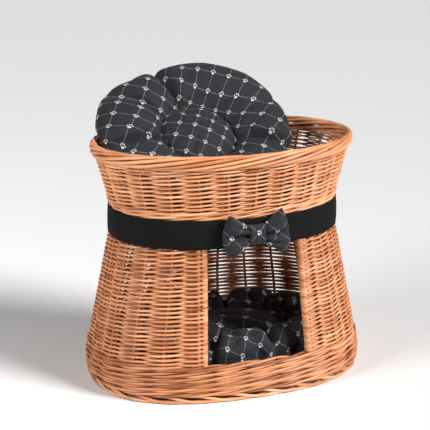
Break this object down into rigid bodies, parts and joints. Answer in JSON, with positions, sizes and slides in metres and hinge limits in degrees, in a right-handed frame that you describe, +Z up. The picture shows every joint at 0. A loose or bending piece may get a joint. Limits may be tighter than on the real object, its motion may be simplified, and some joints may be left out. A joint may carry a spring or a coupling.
{
  "type": "wicker pet bed basket",
  "caption": "Oval two-storey wicker pet basket: den with a doorway below, open sleeping bed above, fabric waist band with bow and loose round cushions.",
  "frame": {"origin": "on the ground under the middle of the oval basket", "axes": "+Z up, +X along the long side of the oval, the doorway and bow face -Y"},
  "size_m": [0.563, 0.4, 0.6042],
  "materials": {
    "willow": "steamed willow rods, satin, woven",
    "willow_core": "steamed willow rods, satin",
    "band_cotton": "plain black cotton, matt",
    "print_cotton": "charcoal cotton with a pale printed grid, matt"
  },
  "bodies": {
    "basket": {"foot_border": "willow", "den_floor": "willow", "sill_wale": "willow", "den_wall": "willow", "door_post_left_1": "willow_core", "door_post_left_2": "willow_core", "door_post_right_1": "willow_core", "door_post_right_2": "willow_core", "waist_wale": "willow", "bed_floor": "willow", "bed_wall": "willow", "rim_wale": "willow", "rim_border": "willow", "den_long_stick_1": "willow_core", "den_long_stick_2": "willow_core", "den_cross_stick_1": "willow_core", "den_cross_stick_2": "willow_core", "den_cross_stick_3": "willow_core", "den_cross_stick_4": "willow_core", "bed_long_stick_1": "willow_core", "bed_long_stick_2": "willow_core", "bed_cross_stick_1": "willow_core", "bed_cross_stick_2": "willow_core", "bed_cross_stick_3": "willow_core", "bed_cross_stick_4": "willow_core", "stake_01": "willow_core", "stake_02": "willow_core", "stake_03": "willow_core", "stake_04": "willow_core", "stake_05": "willow_core", "stake_06": "willow_core", "stake_07": "willow_core", "stake_08": "willow_core", "stake_09": "willow_core", "stake_10": "willow_core", "stake_11": "willow_core", "stake_12": "willow_core", "stake_13": "willow_core", "stake_14": "willow_core", "stake_15": "willow_core", "stake_16": "willow_core", "stake_17": "willow_core", "stake_18": "willow_core", "stake_19": "willow_core", "stake_20": "willow_core", "stake_21": "willow_core", "stake_22": "willow_core", "stake_23": "willow_core", "stake_24": "willow_core", "waist_band": "band_cotton", "bow_left_wing": "print_cotton", "bow_right_wing": "print_cotton", "bow_knot": "print_cotton"},
    "bed_cushion": {"bed_cushion": "print_cotton"},
    "den_cushion": {"den_cushion": "print_cotton"}
  },
  "joints": [
    {"name": "bed_cushion_lift", "type": "slide", "parent": "basket", "child": "bed_cushion", "axis": [0, 0, 1], "range_m": [0, 0.35]},
    {"name": "den_cushion_lift", "type": "slide", "parent": "basket", "child": "den_cushion", "axis": [0, 0, 1], "range_m": [0, 0.1]}
  ]
}
